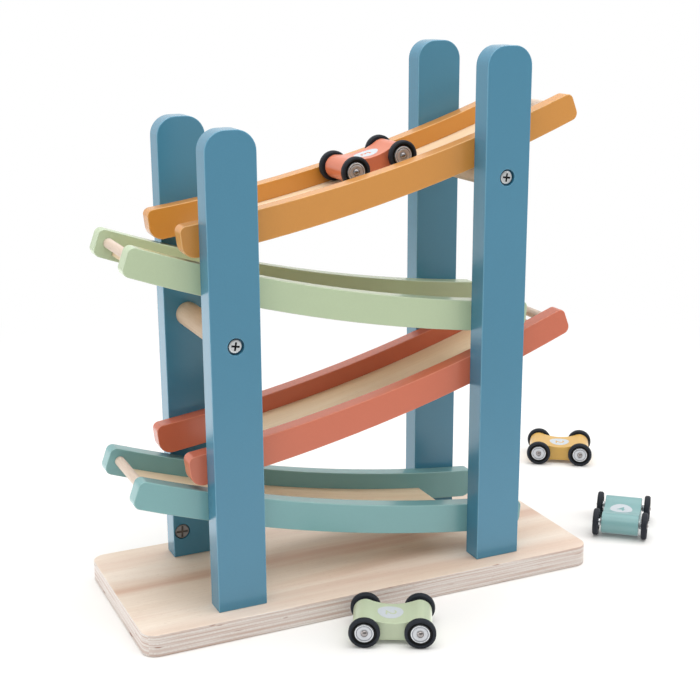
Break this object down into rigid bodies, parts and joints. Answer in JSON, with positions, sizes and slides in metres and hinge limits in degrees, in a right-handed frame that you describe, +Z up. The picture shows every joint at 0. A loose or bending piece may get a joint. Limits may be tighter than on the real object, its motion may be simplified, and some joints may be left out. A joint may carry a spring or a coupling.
{
  "type": "click clack track toy",
  "caption": "Wooden toy ramp with curved tracks that fall to and fro between pairs of posts on a plywood base, with small wheeled cars that roll down it and beside it.",
  "frame": {"origin": "centre of the base board's underside, on the surface it stands on", "axes": "+X along the base board to the taller posts, +Y from the front to the rear, +Z up"},
  "size_m": [0.4254, 0.2662, 0.3335],
  "materials": {
    "birch_plywood": "sealed birch plywood, clear satin",
    "blue_painted_wood": "painted beech, satin",
    "orange_painted_rail": "painted plywood, satin",
    "green_painted_rail": "painted plywood, satin",
    "red_painted_rail": "painted plywood, satin",
    "teal_painted_rail": "painted plywood, satin",
    "deck_veneer": "thin curved plywood, clear satin",
    "beech_dowel": "turned beech, bare",
    "zinc_plated_steel": "zinc plated",
    "zinc_casting": "die-cast zinc, dull",
    "axle_steel": "polished steel",
    "silver_hub_plastic": "silver painted plastic",
    "tyre_rubber": "moulded rubber, dull",
    "red_painted_car": "painted beech, satin",
    "green_painted_car": "painted beech, satin",
    "yellow_painted_car": "painted beech, satin",
    "teal_painted_car": "painted beech, satin"
  },
  "bodies": {
    "stand": {"base_board": "birch_plywood", "front_left_post": "blue_painted_wood", "rear_left_post": "blue_painted_wood", "front_right_post": "blue_painted_wood", "rear_right_post": "blue_painted_wood", "orange_front_rail": "orange_painted_rail", "orange_rear_rail": "orange_painted_rail", "orange_deck": "deck_veneer", "orange_stop_dowel": "beech_dowel", "green_front_rail": "green_painted_rail", "green_rear_rail": "green_painted_rail", "green_deck": "deck_veneer", "green_stop_dowel": "beech_dowel", "red_front_rail": "red_painted_rail", "red_rear_rail": "red_painted_rail", "red_deck": "deck_veneer", "red_stop_dowel": "beech_dowel", "teal_front_rail": "teal_painted_rail", "teal_rear_rail": "teal_painted_rail", "teal_deck": "deck_veneer", "teal_stop_dowel": "beech_dowel", "left_spacer_dowel": "beech_dowel", "right_spacer_dowel": "beech_dowel", "spacer_screws": "zinc_plated_steel", "cam_nuts": "zinc_casting", "cam_bolts": "zinc_plated_steel", "post_dowel_pins": "beech_dowel", "rail_dowel_pins": "beech_dowel"},
    "red_car": {"red_car_body": "red_painted_car"},
    "red_car_front_wheels": {"red_car_front_axle": "axle_steel", "red_car_front_hubs": "silver_hub_plastic", "red_car_front_tyres": "tyre_rubber"},
    "red_car_rear_wheels": {"red_car_rear_axle": "axle_steel", "red_car_rear_hubs": "silver_hub_plastic", "red_car_rear_tyres": "tyre_rubber"},
    "green_car": {"green_car_body": "green_painted_car"},
    "green_car_front_wheels": {"green_car_front_axle": "axle_steel", "green_car_front_hubs": "silver_hub_plastic", "green_car_front_tyres": "tyre_rubber"},
    "green_car_rear_wheels": {"green_car_rear_axle": "axle_steel", "green_car_rear_hubs": "silver_hub_plastic", "green_car_rear_tyres": "tyre_rubber"},
    "yellow_car": {"yellow_car_body": "yellow_painted_car"},
    "yellow_car_front_wheels": {"yellow_car_front_axle": "axle_steel", "yellow_car_front_hubs": "silver_hub_plastic", "yellow_car_front_tyres": "tyre_rubber"},
    "yellow_car_rear_wheels": {"yellow_car_rear_axle": "axle_steel", "yellow_car_rear_hubs": "silver_hub_plastic", "yellow_car_rear_tyres": "tyre_rubber"},
    "teal_car": {"teal_car_body": "teal_painted_car"},
    "teal_car_front_wheels": {"teal_car_front_axle": "axle_steel", "teal_car_front_hubs": "silver_hub_plastic", "teal_car_front_tyres": "tyre_rubber"},
    "teal_car_rear_wheels": {"teal_car_rear_axle": "axle_steel", "teal_car_rear_hubs": "silver_hub_plastic", "teal_car_rear_tyres": "tyre_rubber"}
  },
  "joints": [
    {"name": "red_car_roll", "type": "hinge", "parent": "stand", "child": "red_car", "pos_m": [-0.22919, 0.00645, 1.2336], "axis": [0, -1, 0], "range_deg": [-4.48, 5.12]},
    {"name": "red_car_front_spin", "type": "hinge", "parent": "red_car", "child": "red_car_front_wheels", "pos_m": [0.00598, 0.00645, 0.26031], "axis": [0, -1, 0], "continuous": true},
    {"name": "red_car_rear_spin", "type": "hinge", "parent": "red_car", "child": "red_car_rear_wheels", "pos_m": [0.03715, 0.00645, 0.26837], "axis": [0, -1, 0], "continuous": true},
    {"name": "green_car_roll", "type": "slide", "parent": "stand", "child": "green_car", "axis": [0.8894, -0.4571, 0], "range_m": [-0.006, 0.06]},
    {"name": "green_car_front_spin", "type": "hinge", "parent": "green_car", "child": "green_car_front_wheels", "pos_m": [0.00422, -0.10055, 0.0092], "axis": [0.4571, 0.8894, 0], "continuous": true},
    {"name": "green_car_rear_spin", "type": "hinge", "parent": "green_car", "child": "green_car_rear_wheels", "pos_m": [-0.02442, -0.08583, 0.0092], "axis": [0.4571, 0.8894, 0], "continuous": true},
    {"name": "yellow_car_roll", "type": "slide", "parent": "stand", "child": "yellow_car", "axis": [0.8368, -0.5476, 0], "range_m": [-0.05, 0.05]},
    {"name": "yellow_car_front_spin", "type": "hinge", "parent": "yellow_car", "child": "yellow_car_front_wheels", "pos_m": [0.25816, 0.10813, 0.0092], "axis": [0.5476, 0.8368, 0], "continuous": true},
    {"name": "yellow_car_rear_spin", "type": "hinge", "parent": "yellow_car", "child": "yellow_car_rear_wheels", "pos_m": [0.23122, 0.12577, 0.0092], "axis": [0.5476, 0.8368, 0], "continuous": true},
    {"name": "teal_car_roll", "type": "slide", "parent": "stand", "child": "teal_car", "axis": [0.6468, 0.7627, 0], "range_m": [-0.03, 0.05]},
    {"name": "teal_car_front_spin", "type": "hinge", "parent": "teal_car", "child": "teal_car_front_wheels", "pos_m": [0.21613, -0.00832, 0.0092], "axis": [-0.7627, 0.6468, 0], "continuous": true},
    {"name": "teal_car_rear_spin", "type": "hinge", "parent": "teal_car", "child": "teal_car_rear_wheels", "pos_m": [0.19531, -0.03288, 0.0092], "axis": [-0.7627, 0.6468, 0], "continuous": true}
  ],
  "couplings": [
    {"joint": "red_car_front_spin", "follows": "red_car_roll", "ratio": -109.84},
    {"joint": "red_car_rear_spin", "follows": "red_car_roll", "ratio": -109.84},
    {"joint": "green_car_front_spin", "follows": "green_car_roll", "rad_per_m": 108.7},
    {"joint": "green_car_rear_spin", "follows": "green_car_roll", "rad_per_m": 108.7},
    {"joint": "yellow_car_front_spin", "follows": "yellow_car_roll", "rad_per_m": 108.7},
    {"joint": "yellow_car_rear_spin", "follows": "yellow_car_roll", "rad_per_m": 108.7},
    {"joint": "teal_car_front_spin", "follows": "teal_car_roll", "rad_per_m": 108.7},
    {"joint": "teal_car_rear_spin", "follows": "teal_car_roll", "rad_per_m": 108.7}
  ]
}
